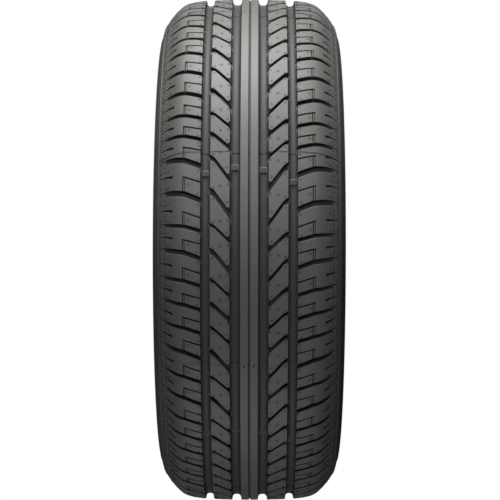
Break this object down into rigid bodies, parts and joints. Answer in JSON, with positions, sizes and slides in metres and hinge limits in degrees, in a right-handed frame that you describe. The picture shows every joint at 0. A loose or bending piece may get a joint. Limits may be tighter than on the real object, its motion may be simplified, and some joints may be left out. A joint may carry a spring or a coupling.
{
  "type": "car tyre",
  "caption": "Moulded car tyre: ring with a grooved and slotted road tread, rounded shoulders, plain sidewalls, an open air space and two beads that sit on a wheel rim.",
  "frame": {"origin": "middle of the tyre, on the spin axis halfway between the two sidewalls", "axes": "+Z along the spin axis, X and Y in the plane through the middle of the tread; the tyre lies on its lower sidewall"},
  "size_m": [0.6113, 0.6114, 0.214],
  "materials": {
    "tyre": "matte moulded rubber"
  },
  "bodies": {
    "root": {"tyre": "tyre"}
  },
  "joints": []
}
